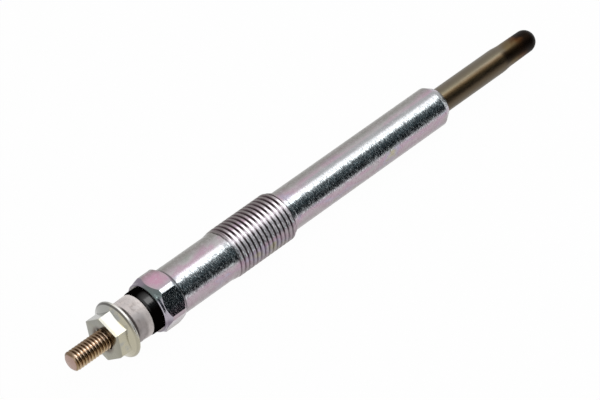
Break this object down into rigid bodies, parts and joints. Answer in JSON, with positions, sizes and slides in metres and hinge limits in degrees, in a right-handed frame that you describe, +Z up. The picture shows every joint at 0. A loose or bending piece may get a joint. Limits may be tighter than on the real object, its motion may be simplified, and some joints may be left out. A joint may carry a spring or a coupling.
{
  "type": "diesel glow plug",
  "caption": "Sheathed diesel glow plug: steel shell with hexagon, thread and seat cone, a thin swaged heating tube, and a threaded terminal stud with a flanged nut.",
  "frame": {"origin": "middle of the plug's length and width, at the height of the ground that the terminal nut's flange rests on", "axes": "+X along the plug's axis from the terminal stud to the glowing tip, +Z up, +Y to the left when looking along +X"},
  "size_m": [0.1198, 0.0112, 0.0113],
  "materials": {
    "shell_plate": "bright zinc plate with a faint rainbow passivation",
    "heat_steel": "olive brown heat-resisting steel, browned towards the tip",
    "stud_steel": "yellow passivated steel, satin",
    "nut_plate": "zinc plate, satin, slightly yellow",
    "collar_plate": "satin plate",
    "black_moulding": "glossy black moulding",
    "seal_rubber": "matt black rubber",
    "magnesia": "pressed off-white powder",
    "nickel_wire": "drawn wire",
    "resistance_wire": "drawn wire, browned"
  },
  "bodies": {
    "root": {"shell": "shell_plate", "glow_tube": "heat_steel", "centre_rod": "stud_steel", "flange_nut": "nut_plate", "crimp_collar": "collar_plate", "insulator_bush": "black_moulding", "o_ring": "seal_rubber", "tube_seal": "seal_rubber", "magnesia_fill": "magnesia", "regulating_coil": "nickel_wire", "heating_coil": "resistance_wire"}
  },
  "joints": []
}
